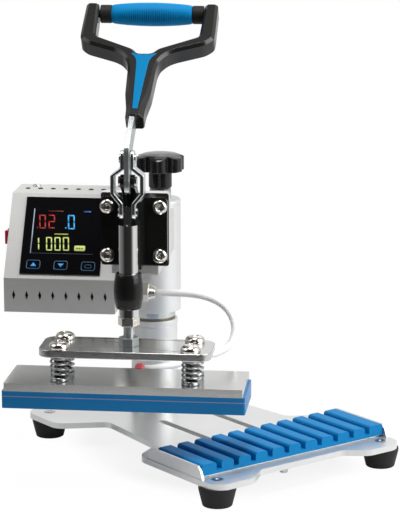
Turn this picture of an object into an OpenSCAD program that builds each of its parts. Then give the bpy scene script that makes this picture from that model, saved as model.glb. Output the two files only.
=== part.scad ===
// Pen heat press: a swing-away head on a post, a push toggle clamp that drives a
// spring-floated heated platen, and a ten-groove pen mould on a sliding tray.
// Millimetres. Origin on the post axis at floor level, X right, -Y front, Z up.
// The head is drawn swung aside by `swing`; head-frame pieces use on_head().

/* [Base] */
// Height of the rubber feet
foot_h = 15; // [11:0.5:22]
// Diameter of each foot at the plate
foot_d = 28; // [22:0.5:29]
// Half spacing of the feet across the base
foot_x = 79.3; // [74:0.1:88]
// Back feet behind the post axis
foot_back = 34.6; // [30:0.1:50]
// Front feet ahead of the post axis
foot_front = 186.5; // [180:0.1:210]
// Thickness of the base plate
plate_t = 4.5; // [3.5:0.1:8]
// Half width of the plate at its waist
waist_x = 58; // [48:0.5:64]
// Half spacing of the tray slots
slot_x = 23.2; // [19:0.1:32]
// Width of the tray slots
slot_w = 6.4; // [5.4:0.1:9]

/* [Tray and mould] */
// Sheet thickness of the tray
tray_t = 1.6; // [1.2:0.1:2.5]
// Back travel of the tray
tray_travel = 30; // [10:1:45]
// Length of the pen mould across the base
mould_w = 175.8; // [168:0.2:178]
// Depth of the pen mould front to back
mould_d = 54.4; // [44:0.2:58]
// Height of the pen mould
mould_h = 8.8; // [6:0.1:9.2]
// Spacing of the pen grooves
groove_pitch = 16; // [14:0.1:16.6]
// Width of each pen groove
groove_w = 4.6; // [4.2:0.1:8]
// Depth of each pen groove
groove_depth = 6; // [3:0.1:6.4]

/* [Post and swivel] */
// Outside diameter of the post
post_d = 37.2; // [34:0.2:42]
// Length of the post above the plate
post_len = 69; // [60:0.5:80]
// Spindle journal diameter
journal_d = 24; // [18:0.5:25]
// Outside diameter of the head sleeve
sleeve_d = 43; // [39:0.2:44]
// Length of the head sleeve
sleeve_len = 86; // [80:0.5:96]
// Swing of the head away from the press position, degrees
swing = 43.57; // [0:0.01:60]
// Distance from post axis to plunger axis
reach = 152; // [148:0.5:158]
// Diameter of the height knob
knob_d = 40; // [32:0.5:44]
// Height knob offset from the post axis
knob_x = 5.3; // [2:0.1:6]

/* [Arm and clamp] */
// Offset of the clamp from the middle of the platen
clamp_x = 1.3; // [0:0.1:2.4]
// Half width of the arm
arm_half = 18; // [14:0.5:18.5]
// Width of the clamp flange
flange_w = 50.4; // [48:0.2:54]
// Height of the clamp flange
flange_h = 51; // [49:0.2:56]
// Plunger diameter
plunger_d = 14.2; // [13:0.2:15.4]
// Guide barrel diameter at its middle
barrel_d = 22; // [20.6:0.2:24]
// Guide barrel length
barrel_len = 26.5; // [24:0.5:30]
// Crank radius of the toggle
crank = 17; // [15:0.1:17.4]
// Length of the side links, pin to pin
link_len = 40; // [39:0.1:43]

/* [Handle] */
// Lean of the handle behind the vertical, degrees
lean = 56; // [45:0.5:60]
// Outside width of the handle fork
fork_w = 102.5; // [92:0.5:110]
// Handle length from bend to grip axis
grip_w = 155; // [148:0.5:160]
// Largest diameter of the grip
grip_d = 18.2; // [16:0.2:22]
// Length of the grip
grip_len = 63; // [56:0.5:66]
// Thickness of the handle frame
fork_t = 14.6; // [14.6:0.2:20]

/* [Platen] */
// Length of the top plate
top_w = 128; // [118:0.5:140]
// Depth of the top plate
top_d = 44; // [42:0.5:48]
// Thickness of the top plate
top_t = 5.6; // [4:0.1:8]
// Half spacing of the spring bolts along the platen
bolt_x = 48.8; // [40:0.2:52]
// Half spacing of the spring bolts front to back
bolt_y = 14; // [13:0.1:14.6]
// Installed length of the pressure springs
spring_len = 19; // [16:0.2:22]
// Spring outside diameter
spring_d = 14; // [12.4:0.1:14.6]
// Spring wire diameter
wire_d = 1.7; // [1.2:0.1:1.9]
// Length of the aluminium platen
platen_w = 177; // [165:0.5:185]
// Depth of the aluminium platen
platen_d = 52.6; // [46:0.2:56]
// Thickness of the aluminium platen
platen_t = 6.1; // [5.6:0.1:9]
// Thickness of the cushion sheet
cushion_t = 3.9; // [2:0.1:5]
// Thickness of the heater block
block_t = 9; // [6:0.1:9.6]

/* [Control box] */
// Width of the control box
box_w = 87.4; // [84:0.2:100]
// Depth of the control box
box_d = 81.7; // [80:0.2:95]
// Height of the control box
box_h = 86.7; // [84:0.2:95]
// Height of the lower front face
box_front = 27; // [24:0.2:30]
// Depth of the flat top of the box
box_top = 39; // [36:0.2:42]
// Width of the display panel
display_w = 63.5; // [50:0.5:66]
// Length of the display panel up the slope
display_h = 66; // [56:0.5:66]
// Heater cable diameter
cable_d = 5.6; // [4.6:0.1:6.4]

/* [Fits] */
// Radial running clearance of shafts
run = 0.05; // [0.03:0.01:0.08]
// Radial gap of parts fixed in their holes
snug = 0.02; // [0.01:0.01:0.03]
// Gap between flat faces that slide or stop
face = 0.05; // [0.02:0.01:0.1]

/* [Hidden] */
$fn = 48;
plate_z = foot_h;
plate_top = plate_z + plate_t;
edge_back = foot_back + 15.4;
edge_side = max(foot_x + 14.7, foot_d / 2 + foot_x + 0.5);
tray_half = mould_w / 2 + 0.6 + 2;
front_half = max(foot_x + 11.7, tray_half + 0.5);
front_lobe = foot_front + 14;
front_mid = max(foot_front + 1.3, reach + mould_d / 2 + 5);
mould_z = plate_top + tray_t;
mould_top = mould_z + mould_h;
// The tray's bent flanges end below the mould; its floor stops behind the mould's front
flange_edge = mould_top - 0.8;
tray_inset = 2.5;
post_top = plate_top + post_len;
bush_top = post_top + 4.7;
washer_z = bush_top + face;
collar_z = washer_z + 2.05;
sleeve_z = collar_z + 5.2;
sleeve_top = sleeve_z + sleeve_len;
cap_top = sleeve_top + 4;
// Height of the knob's nut and diameter of its hub
nut_h = 8.4;
hub_d = 18.6;
bore_d = 30;
// Clamp heights follow the sleeve; flange sits near its top
flange_z = sleeve_top - 23;
flange_top = flange_z + flange_h;
flange_y = -reach + 28;
flange_t = 7;
mount_t = 9;
arm_y = flange_y + flange_t + mount_t;
arm_z = flange_z - 11;
arm_top = sleeve_top - 0.5;
pivot_z = flange_top + 16.9;
crank_z = pivot_z + crank;
foot_pin_z = crank_z - link_len;
bend_z = crank_z + 4.6;
plunger_top = foot_pin_z - 9;
barrel_z = flange_z - 0.2 - barrel_len;
plunger_end = barrel_z - 6.3;
jam_z = plunger_end - 6.6;
nut_top = jam_z - 9;
top_z = nut_top - 6.4 - top_t;
platen_top = top_z - spring_len;
platen_z = platen_top - platen_t;
cushion_z = platen_z - cushion_t;
block_z = cushion_z - block_t;
block_w = platen_w + 3;
element_w = block_w - 22;
element_d = platen_d - 18.6;
element_t = 1.8;
sensor_x = 20;
sensor_len = 12;
pin_d = 6;
link_pin_d = 5;
bar_half = 2;
link_t = 3;
tongue_half = 2.6;
tongue_d = 7.6;
// Inner face of the links beside the plunger's tongue
link_low = tongue_half + 0.5;
link_wide = 9.4;
bar_w = 13;
handle_x = 1.5;
// Front face of the handle frame above the handle's middle line
fork_front = 8;
// Control box, in the head frame
box_x = -max(arm_half + 3.8, sleeve_d / 2 + 0.3) - box_w;
box_z = sleeve_z + 10.4;
box_y = 13.7 - box_d;
box_right = box_x + box_w;
box_ztop = box_z + box_h;
slope_y = 13.7 - box_top - box_y;
slope_z = box_h - box_front;
slope_len = sqrt(slope_y * slope_y + slope_z * slope_z);
slope_a = atan2(slope_z, slope_y);
wall = 1.5;
display_x = box_x + 12;
switch_y = box_y + 38;
switch_z = box_z + 53;
gland_y = -45;
gland_z = box_z + 13;
boot_end = 8.2;
boot_y = -reach + platen_d / 2 + 6;
boot_z = platen_z + 4.4;
// Cable centre line from inside the box to the boot, head frame
cable_pts = [
    [box_right - 7, gland_y, gland_z],
    [box_right + 8, gland_y, gland_z],
    [box_right + 29, gland_y, gland_z],
    [20, gland_y, gland_z],
    [33, gland_y - 0.5, gland_z - 0.2],
    [45, gland_y - 1.5, gland_z - 1.6],
    [56, gland_y - 3.5, gland_z - 5],
    [64.5, gland_y - 6.5, gland_z - 10.8],
    [69.6, gland_y - 10, gland_z - 19],
    [70.6, gland_y - 15, gland_z - 28],
    [67, gland_y - 22, gland_z - 36],
    [59.5, (gland_y + boot_y) / 2 + 8, (gland_z + boot_z) / 2 - 18.6],
    [49.5, (gland_y + boot_y) / 2 - 3, boot_z + 2],
    [38.5, boot_y + 22, boot_z + 0.8],
    [28, boot_y + 11, boot_z + 0.2],
    [19.5, boot_y + 4.2, boot_z],
    [14, boot_y + 0.9, boot_z],
    [11.5, boot_y, boot_z],
    [boot_end + 0.4, boot_y, boot_z]
];
silver = [0.80, 0.80, 0.79];
steel = [0.72, 0.73, 0.74];
alu = [0.66, 0.67, 0.68];
black = [0.05, 0.05, 0.055];
blue = [0.03, 0.20, 0.62];
brass = [0.62, 0.52, 0.28];
red = [0.75, 0.07, 0.06];
white = [0.88, 0.88, 0.86];
green = [0.08, 0.30, 0.16];

// Helpers
module on_head() {
    rotate([0, 0, -swing]) children();
}
module on_clamp() {
    on_head() translate([clamp_x, 0, 0]) children();
}
module at_plunger(z) {
    on_clamp() translate([0, -reach, z]) children();
}
module at_platen(z) {
    on_head() translate([0, -reach, z]) children();
}
// Profile drawn in (y, z), extruded along x from x0 to x1
module side_on(x0, x1) {
    translate([x0, 0, 0]) rotate([90, 0, 90]) linear_extrude(x1 - x0) children();
}
// Profile drawn in (x, z), extruded along y from y0 to y1
module face_on(y0, y1) {
    translate([0, y1, 0]) rotate([90, 0, 0]) linear_extrude(y1 - y0) children();
}
module pad(w, d, r) {
    square([w - 2 * r, d], center = true);
    square([w, d - 2 * r], center = true);
    for (sx = [-1, 1], sy = [-1, 1]) {
        translate([sx * (w / 2 - r), sy * (d / 2 - r)]) circle(r);
    }
}
module hexagon(af) {
    circle(d = af / cos(30), $fn = 6);
}
module hex_nut(af, h, hole) {
    linear_extrude(h) difference() {
        hexagon(af);
        circle(d = hole);
    }
}
// Rod along x
module rod_x(x0, x1, d) {
    translate([x0, 0, 0]) rotate([0, 90, 0]) cylinder(d = d, h = x1 - x0);
}
module on_slope(x, s) {
    on_head() translate([x, box_y, box_z + box_front]) rotate([slope_a, 0, 0]) {
        translate([0, s, 0]) children();
    }
}
module on_lean() {
    at_plunger(bend_z) rotate([90 - lean, 0, 0]) children();
}

// Base
module plate_half() {
    polygon([[0, edge_back], [-edge_side, edge_back], [-edge_side, 3], [-waist_x, -18],
        [-waist_x - 6.5, -90], [-front_half, -105], [-front_half, -front_lobe],
        [-56, -front_lobe], [-40, -front_mid], [0, -front_mid]]);
}
module plate_outline() {
    offset(r = -9) offset(delta = 9) offset(r = 13) offset(delta = -13) union() {
        plate_half();
        mirror([1, 0]) plate_half();
    }
}
module slot(x, y0, y1) {
    translate([x - slot_w / 2, y0]) square([slot_w, y1 - y0]);
    translate([x, y0]) circle(d = slot_w);
    translate([x, y1]) circle(d = slot_w);
}
module at_feet() {
    for (sx = [-1, 1], y = [foot_back, -foot_front]) {
        translate([sx * foot_x, y, 0]) children();
    }
}
module base_plate() color(silver) difference() {
    translate([0, 0, plate_z]) linear_extrude(plate_t, convexity = 6) plate_outline();
    translate([0, 0, plate_z - 1]) linear_extrude(plate_t + 2, convexity = 6) {
        slot(slot_x, -reach - 6, -43);
        slot(-slot_x, -reach - 6, -43);
        slot(0, -reach - 17, -reach - 14 + tray_travel);
    }
    translate([0, 0, plate_z - 1]) cylinder(d = 12 + 2 * snug, h = plate_t + 2);
    at_feet() translate([0, 0, plate_z - 1]) cylinder(d = 5 + 2 * snug, h = plate_t + 2);
    at_feet() translate([0, 0, plate_top - 2]) cylinder(d1 = 5 + 2 * snug, d2 = 9 + 2 * snug, h = 2 + snug);
}
module rubber_feet() color(black) at_feet() rotate_extrude() polygon([[2.5 + snug, 5],
    [2.5 + snug, foot_h], [foot_d / 2, foot_h], [foot_d / 2, foot_h - 2.5],
    [foot_d / 2 - 3, 0], [6, 0], [6, 5]]);
module foot_screws() color(steel) at_feet() {
    translate([0, 0, 5.5]) cylinder(d = 5, h = plate_top - 7.5);
    translate([0, 0, plate_top - 2]) cylinder(d1 = 5, d2 = 9, h = 2);
}
module post() color(silver) rotate_extrude() polygon([[6 + snug, plate_top], [post_d / 2, plate_top],
    [post_d / 2, post_top], [journal_d / 2 + 3, post_top], [journal_d / 2 + 3, plate_top + 24],
    [6 + snug, plate_top + 24]]);
module post_bush() color(silver) rotate_extrude() polygon([[journal_d / 2 + run, plate_top + 30],
    [journal_d / 2 + 3 - snug, plate_top + 30], [journal_d / 2 + 3 - snug, post_top],
    [post_d / 2 + 0.3, post_top], [post_d / 2 + 0.3, bush_top], [journal_d / 2 + run, bush_top]]);
module post_bolt() color(steel) {
    translate([0, 0, plate_z - 7]) linear_extrude(7) hexagon(18);
    translate([0, 0, plate_z]) cylinder(d = 12, h = plate_t + 19);
}

// Tray and mould
module mould_tray() color(silver) {
    translate([-tray_half, -reach - mould_d / 2 + tray_inset, plate_top + face]) {
        cube([2 * tray_half, mould_d - tray_inset, tray_t - face]);
    }
    for (s = [-1, 1]) {
        side_on(s > 0 ? tray_half - 2 : -tray_half, s > 0 ? tray_half : 2 - tray_half) {
            polygon([[-reach + mould_d / 2 + 11, plate_top + face], [-reach + mould_d / 2 + 2.5, flange_edge],
                [-reach - mould_d / 2 + 2, flange_edge], [-reach - mould_d / 2 - 1.5, flange_edge - 3.4],
                [-reach - mould_d / 2 - 4, plate_top + face]]);
        }
    }
}
module ridge(w) {
    r = 2.3;
    translate([-w / 2, 0]) square([w, groove_depth - r]);
    translate([-w / 2 + r, 0]) square([w - 2 * r, groove_depth]);
    for (s = [-1, 1]) translate([s * (w / 2 - r), groove_depth - r]) circle(r);
}
module pen_mould() color(blue) {
    end_w = (mould_w - 9 * groove_pitch - groove_w) / 2;
    face_on(-reach - mould_d / 2, -reach + mould_d / 2) union() {
        translate([-mould_w / 2, mould_z]) square([mould_w, mould_h - groove_depth]);
        translate([0, mould_top - groove_depth]) {
            for (i = [0:8]) translate([(i - 4) * groove_pitch, 0]) ridge(groove_pitch - groove_w);
            for (s = [-1, 1]) translate([s * (mould_w - end_w) / 2, 0]) ridge(end_w);
        }
    }
}
module guide_studs() color(steel) for (s = [-1, 1]) {
    translate([s * slot_x, -reach, plate_z - 8]) cylinder(d = slot_w - 0.4, h = 8 + plate_t + face);
}
module guide_nuts() color(steel) for (s = [-1, 1]) {
    translate([s * slot_x, -reach, plate_z - face - 5]) hex_nut(slot_w + 4, 5, slot_w - 0.4 + 2 * snug);
}
module lock_stud() color(steel) translate([0, -reach - 14, plate_z - 10.4]) {
    cylinder(d = slot_w - 0.4, h = 10.4 + plate_t + face);
}
module lock_nut() color(black) translate([0, -reach - 14, plate_z - face - 7]) {
    hex_nut(slot_w + 4, 7, slot_w - 0.4 + 2 * snug);
}

// Swivel
module spindle() color(brass) on_head() {
    rotate_extrude() polygon([[0, plate_top + 26], [journal_d / 2, plate_top + 26], [journal_d / 2, collar_z],
        [17, collar_z], [17, sleeve_z - face], [bore_d / 2 - run, sleeve_z - face],
        [bore_d / 2 - run, sleeve_top - 3], [0, sleeve_top - 3]]);
    translate([knob_x, 0, sleeve_top - 3]) cylinder(d = 9, h = 27);
}
module thrust_washer() color(brass) on_head() translate([0, 0, washer_z]) difference() {
    cylinder(d = 34, h = 2.05);
    translate([0, 0, -1]) cylinder(d = journal_d + 2 * snug, h = 4);
}

// Head
module sleeve() color(silver) on_head() translate([0, 0, sleeve_z]) difference() {
    cylinder(d = sleeve_d, h = sleeve_len);
    translate([0, 0, -1]) cylinder(d = bore_d, h = sleeve_len + 2);
}
module sleeve_cap() color(silver) on_head() difference() {
    translate([0, 0, sleeve_top]) union() {
        cylinder(d = sleeve_d, h = 3.2);
        translate([0, 0, 3.2]) cylinder(d1 = sleeve_d, d2 = sleeve_d - 1.6, h = 0.8);
    }
    translate([knob_x, 0, sleeve_top - 1]) cylinder(d = 9 + 2 * run, h = 8);
}
module head_arm() color(silver) on_head() difference() {
    translate([-arm_half, arm_y, arm_z]) cube([2 * arm_half, -arm_y, arm_top - arm_z]);
    translate([3 - arm_half, arm_y + 4, arm_z + 3]) cube([2 * arm_half - 6, -arm_y, arm_top - arm_z - 6]);
    translate([0, 0, arm_z - 1]) cylinder(d = sleeve_d + 2 * snug, h = arm_top - arm_z + 2);
}
module arm_gusset() color(silver) on_head() difference() {
    side_on(-6, 6) polygon([[0, arm_z], [0, arm_z - 19], [-sleeve_d / 2 - 4, arm_z - 19],
        [-sleeve_d / 2 - 34, arm_z]]);
    translate([0, 0, arm_z - 20]) cylinder(d = sleeve_d + 2 * snug, h = 22);
}
module flange_holes() {
    for (sx = [-1, 1], sz = [-1, 1]) {
        translate([sx * 19.6, 0, (flange_z + flange_top) / 2 + sz * 18.4]) rotate([90, 0, 0]) children();
    }
}
module mounting_plate() color(steel) on_clamp() difference() {
    face_on(flange_y + flange_t, arm_y) {
        translate([0, (flange_z + flange_top) / 2]) pad(flange_w + 0.8, flange_h + 4.4, 2);
    }
    translate([0, arm_y + 1, 0]) flange_holes() cylinder(d = 6 + 2 * snug, h = mount_t + 2);
}
module barrel_solid() {
    r = barrel_d / 2;
    rotate_extrude() polygon([[0, 0], [r - 2, 0], [r - 1.4, 0.7], [r - 0.25, barrel_len * 0.27],
        [r, barrel_len * 0.5], [r - 0.25, barrel_len * 0.73], [r - 1.4, barrel_len - 0.7],
        [r - 2, barrel_len], [0, barrel_len]]);
}
module ear_profile() {
    translate([-reach, pivot_z]) circle(5.2);
    polygon([[-reach + 24, flange_top - 1], [-reach + 10.6, flange_top - 8], [-reach + 8, flange_top + 6],
        [-reach - 0.9, pivot_z - 5.1], [-reach + 2.9, pivot_z + 4.3], [-reach + 11, flange_top + 14]]);
}
module clamp_body() color(black) on_clamp() difference() {
    union() {
        face_on(flange_y, flange_y + flange_t) {
            translate([0, (flange_z + flange_top) / 2]) pad(flange_w, flange_h, 4);
        }
        translate([-8, -reach + 10.5, flange_z]) cube([16, 18, flange_h]);
        translate([-4, -reach + 8.4, barrel_z + 4]) cube([8, 20, barrel_len + 4]);
        translate([0, -reach, barrel_z]) barrel_solid();
        side_on(bar_half + 0.3, bar_half + 3.2) ear_profile();
        side_on(-bar_half - 3.2, -bar_half - 0.3) ear_profile();
        side_on(-bar_half - 0.6, bar_half + 0.6) intersection() {
            ear_profile();
            translate([-reach + 10.4, flange_top - 10]) square([20, 30]);
        }
    }
    translate([0, -reach, barrel_z - 1]) cylinder(d = plunger_d + 2 * run, h = barrel_len + 8);
    translate([-10, -reach, pivot_z]) rod_x(0, 20, pin_d + 2 * snug);
    translate([0, flange_y + flange_t + 1, 0]) flange_holes() cylinder(d = 6 + 2 * snug, h = flange_t + 2);
}
module clamp_bolts() color(steel) on_clamp() translate([0, arm_y, 0]) flange_holes() {
    translate([0, 0, 1]) cylinder(d = 6, h = mount_t + flange_t - 1);
    translate([0, 0, mount_t + flange_t]) rotate_extrude() polygon([[0, 0], [5.6, 0], [5.6, 1.6], [5, 2.8],
        [3.8, 3.5], [2.5, 3.6], [2.5, 1.2], [0, 1.2]]);
}
module pivot_pin() color(steel) at_plunger(pivot_z) {
    rod_x(-bar_half - 4.8, bar_half + 4.8, pin_d);
    rod_x(-bar_half - 4.8, -bar_half - 3.2, 8);
    rod_x(bar_half + 3.2, bar_half + 4.8, 8);
}

// Control box
module box_profile(inset) {
    offset(delta = -inset) polygon([[box_y, box_z], [box_y, box_z + box_front],
        [13.7 - box_top, box_ztop], [13.7 + inset * 2, box_ztop], [13.7 + inset * 2, box_z]]);
}
module diamond() {
    polygon([[0, -4], [1.35, 0], [0, 4], [-1.35, 0]]);
}
module cover_corners() {
    for (x = [box_x + 6, box_right - 6], z = [box_z + 6, box_ztop - 6]) {
        translate([x, 0, z]) rotate([90, 0, 0]) children();
    }
}
module box_shell() color(silver) on_head() difference() {
    union() {
        difference() {
            side_on(box_x, box_right) intersection() {
                box_profile(0);
                translate([box_y - 1, box_z - 1]) square([box_d + 1 - wall, box_h + 2]);
            }
            side_on(box_x + wall, box_right - wall) box_profile(wall);
        }
        translate([0, 13.7 - wall, 0]) cover_corners() linear_extrude(9) square(9.2, center = true);
    }
    for (i = [0:7]) {
        translate([box_x + box_w / 2 + (i - 3.5) * 10.3, box_y - 1, box_z + box_front / 2]) {
            rotate([-90, 0, 0]) linear_extrude(wall + 2) diamond();
        }
    }
    for (i = [0:6]) {
        translate([box_x + box_w / 2 + (i - 3) * 10.2 - 4.4, 13.7 - box_top / 2, box_ztop - wall - 1]) {
            cylinder(d = 3.2, h = 4, $fn = 24);
        }
    }
    translate([box_x + 14, 13.7 - 9, box_ztop - wall - 1]) cylinder(d = 3 + 2 * snug, h = 4, $fn = 24);
    translate([box_x - 1, switch_y - 9.3, switch_z - 6.1]) cube([wall + 2, 18.6, 12.2]);
    translate([box_right - wall - 1, gland_y, gland_z]) rod_x(0, wall + 2, 10 + 2 * snug);
    translate([0, 14, 0]) cover_corners() cylinder(d = 3 + 2 * snug, h = 9, $fn = 24);
}
module box_back() color(silver) on_head() difference() {
    translate([box_x, 13.7 - wall, box_z]) cube([box_w, wall, box_h]);
    translate([0, 14.7, 0]) cover_corners() cylinder(d = 3 + 2 * snug, h = 4, $fn = 24);
    translate([box_x + box_w / 2 - 13.5, 10, box_z + 16]) cube([27, 5, 20]);
}
module box_screws() color(steel) on_head() {
    translate([0, 15.3, 0]) cover_corners() {
        cylinder(d = 5.6, h = 1.6, $fn = 24);
        cylinder(d = 3, h = 9, $fn = 24);
    }
    translate([box_x + 14, 13.7 - 9, box_ztop - 4]) cylinder(d = 3, h = 4, $fn = 24);
    translate([box_x + 14, 13.7 - 9, box_ztop]) cylinder(d = 5.4, h = 1.5, $fn = 24);
}
module box_spacers() color(steel) on_head() {
    translate([box_right, -29, arm_top - 9]) rod_x(0, -arm_half - box_right, 8);
    translate([box_right, -45, arm_z + 9]) rod_x(0, -arm_half - box_right, 8);
}
module display_panel() color(black) on_slope(display_x, (slope_len - display_h) / 2) {
    translate([0, 0, snug]) cube([display_w, display_h, 1.2]);
}
module circuit_board() color(green) on_slope(display_x + 4, 8) {
    translate([0, 0, -8]) cube([54, 52, 1.6]);
    for (x = [4, 50], y = [4, 48]) {
        translate([x, y, -6.4]) cylinder(d = 5, h = 6.4 - wall, $fn = 24);
    }
}
module control_relay() color(black) on_head() translate([box_x + 12, box_y + 14, box_z + wall]) {
    cube([32, 38, 20]);
}
module switch_frame() color(black) on_head() translate([box_x, switch_y, switch_z]) difference() {
    union() {
        translate([-1.2, -10.5, -7.5]) cube([1.2, 21, 15]);
        translate([0, -9.2, -6]) cube([12, 18.4, 12]);
    }
    translate([-2, -8.75, -5.5]) cube([6.2, 17.5, 11]);
    translate([1.2, 0, -6.6]) cylinder(d = 2.4 + 2 * run, h = 13.2, $fn = 24);
}
module switch_rocker() color(red) on_head() translate([box_x + 1.2, switch_y, switch_z]) {
    translate([0, 0, -5.3]) linear_extrude(10.6) {
        polygon([[1.2, -8], [-5.6, -8], [-4.2, 0], [-3.3, 8], [1.2, 8]]);
    }
    translate([0, 0, -5.9]) cylinder(d = 2.4, h = 11.8, $fn = 24);
}
module power_inlet() color(black) on_head() translate([box_x + box_w / 2, 13.7, box_z + 26]) difference() {
    union() {
        translate([-17, 0, -13]) cube([34, 2.2, 26]);
        translate([-13.4, -18, -9.9]) cube([26.8, 18, 19.8]);
    }
    translate([-11, -14, -7]) cube([22, 17, 14]);
}
module cable_gland() color(steel) on_head() translate([box_right, gland_y, gland_z]) difference() {
    union() {
        rod_x(-8, 0.5, 10);
        rotate([0, 90, 0]) linear_extrude(6) rotate(30) hexagon(15);
        rod_x(5.5, 19, 12.6);
        translate([18.8, 0, 0]) rotate([0, 90, 0]) linear_extrude(5) rotate(30) hexagon(13.6);
        translate([23.7, 0, 0]) rotate([0, 90, 0]) cylinder(d1 = 13, d2 = 8.6, h = 5.3);
    }
    rod_x(-9, 30, cable_d + 2 * snug);
}
// Tube of n sides through a list of points, one ring per point
function unit(v) = v / norm(v);
function heading(p, i) = unit(p[min(i + 1, len(p) - 1)] - p[max(i - 1, 0)]);
module tube(p, r, n) {
    aside = [0.02, 0.05, 1];
    rings = [for (i = [0:len(p) - 1]) let (d = heading(p, i), a = unit(cross(d, aside)), b = cross(d, a))
        for (k = [0:n - 1]) p[i] + r * cos(360 * k / n) * a + r * sin(360 * k / n) * b];
    m = len(p);
    sides = [for (i = [0:m - 2], k = [0:n - 1]) let (q = (k + 1) % n)
        each [[i * n + k, i * n + q, (i + 1) * n + q], [i * n + k, (i + 1) * n + q, (i + 1) * n + k]]];
    first = [for (k = [1:n - 2]) [0, k + 1, k]];
    ends = [for (k = [1:n - 2]) [(m - 1) * n, (m - 1) * n + k, (m - 1) * n + k + 1]];
    polyhedron(points = rings, faces = concat(sides, first, ends), convexity = 8);
}
module heater_cable() color(white) on_head() tube(cable_pts, cable_d / 2, 10);

// Height knob
module height_knob() color(black) on_head() translate([knob_x, 0, cap_top + face]) difference() {
    union() {
        translate([0, 0, nut_h]) cylinder(d1 = hub_d - 2.2, d2 = hub_d, h = 1.6);
        translate([0, 0, nut_h + 1.6]) cylinder(d = hub_d, h = 22.1 - nut_h);
        translate([0, 0, 23]) intersection() {
            linear_extrude(14.2, convexity = 6) {
                circle(d = knob_d - 10);
                for (i = [0:5]) rotate(30 + i * 60) translate([knob_d / 2 - 7, 0]) circle(7);
            }
            rotate_extrude() polygon([[0, 0], [knob_d / 2 - 1, 0], [knob_d / 2, 1], [knob_d / 2, 9.8],
                [knob_d / 2 - 1.2, 11.2], [knob_d / 2 - 6, 13.1], [knob_d / 2 - 12, 14], [0, 14.2]]);
        }
    }
    translate([0, 0, nut_h - 1]) cylinder(d = 9 + 2 * run, h = 26 - nut_h);
}
module knob_nut() color(steel) on_head() translate([knob_x, 0, cap_top + face]) {
    hex_nut(15, nut_h, 9 + 2 * run);
}

// Handle
// Flat bar with a bend: the eye at the pivot, the crank, then the leaning shank
module bar_profile(g) {
    h = bar_w / 2 + g;
    end = 62 + g;
    d = [sin(lean), cos(lean)];
    up = [-cos(lean), sin(lean)];
    bend = [-reach, bend_z];
    hull() for (drop = [0, 2]) translate([-reach, pivot_z - drop]) circle(h + 0.6);
    polygon(concat([bend + [h, pivot_z - bend_z], bend + [h, -h * tan(lean / 2)], bend + end * d - h * up,
        bend + end * d + h * up], [for (a = [lean:-lean / 5:-0.01]) bend + h * [-cos(a), sin(a)]],
        [bend + [-h, pivot_z - bend_z]]));
}
module handle_bar() color(steel) on_clamp() difference() {
    side_on(-bar_half, bar_half) bar_profile(0);
    translate([-10, -reach, pivot_z]) rod_x(0, 20, pin_d + 2 * run);
    translate([-10, -reach, crank_z]) rod_x(0, 20, link_pin_d + 2 * run);
    translate([-10, -reach, bend_z]) rotate([90 - lean, 0, 0]) {
        translate([0, 34, fork_front - 2]) cube([20, 40, 3]);
    }
}
module fork_half() {
    polygon([[0, 32.2], [6.9, 32.2], [7.2, 42], [9.6, 57], [10.8, 86], [12.4, 93.6],
        [17.5, 100.4], [23, 104], [fork_w / 2 - 6, 112.6], [fork_w / 2, 118.6], [fork_w / 2 + 0.4, 126],
        [fork_w / 2, grip_w + 5.5], [fork_w / 2 - 10, grip_w + 5.5], [fork_w / 2 - 11.5, 122], [9.2, 107.2],
        [5.5, 101.9], [0, 101.4]]);
}
module insert_outline() {
    for (s = [-1, 1]) scale([s, 1]) polygon([[0, 38], [1.9, 38], [4.4, 86], [5, 92], [6.5, 95.6], [9.5, 99.4],
        [9.1, 100.6], [5, 98.8], [0, 98.4]]);
}
module handle_frame() color(black) difference() {
    on_lean() translate([handle_x, 0, fork_front - fork_t]) linear_extrude(fork_t, convexity = 8) {
        offset(r = -3) offset(delta = 3) offset(r = 1.5) offset(delta = -1.5) union() {
            fork_half();
            mirror([1, 0]) fork_half();
        }
    }
    on_clamp() side_on(-bar_half - snug, bar_half + snug) bar_profile(snug);
    on_lean() translate([handle_x, 0, fork_front - 1.6]) linear_extrude(3) {
        offset(delta = snug) insert_outline();
    }
    on_lean() translate([handle_x, grip_w, 0]) rod_x(4 - fork_w / 2, fork_w / 2 - 4, 6 + 2 * snug);
}
module handle_insert() color(blue) on_lean() translate([handle_x, 0, fork_front - 1.6]) {
    linear_extrude(2) insert_outline();
}
module grip_rod() color(steel) on_lean() translate([handle_x, grip_w, 0]) {
    rod_x(4.5 - fork_w / 2, fork_w / 2 - 4.5, 6);
}
module grip_collars() color(black) on_lean() translate([handle_x, grip_w, 0]) rotate([0, 90, 0]) {
    for (s = [0, 1]) mirror([0, 0, s]) translate([0, 0, grip_len / 2]) rotate_extrude() {
        polygon([[3 + snug, 0], [grip_d / 2 - 2, 0], [grip_d / 2 - 2, fork_w / 2 - 11 - grip_len / 2],
            [3 + snug, fork_w / 2 - 11 - grip_len / 2]]);
    }
}
module grip_sleeve() color(blue) on_lean() translate([handle_x, grip_w, 0]) rotate([0, 90, 0]) {
    r = grip_d / 2;
    h = grip_len / 2;
    rotate_extrude() polygon([[3 + snug, -h], [r - 2.2, -h], [r - 1.5, 0.8 - h], [r - 0.5, h * -0.55],
        [r, h * -0.12], [r, h * 0.12], [r - 0.5, h * 0.55], [r - 1.5, h - 0.8], [r - 2.2, h], [3 + snug, h]]);
}

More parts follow.
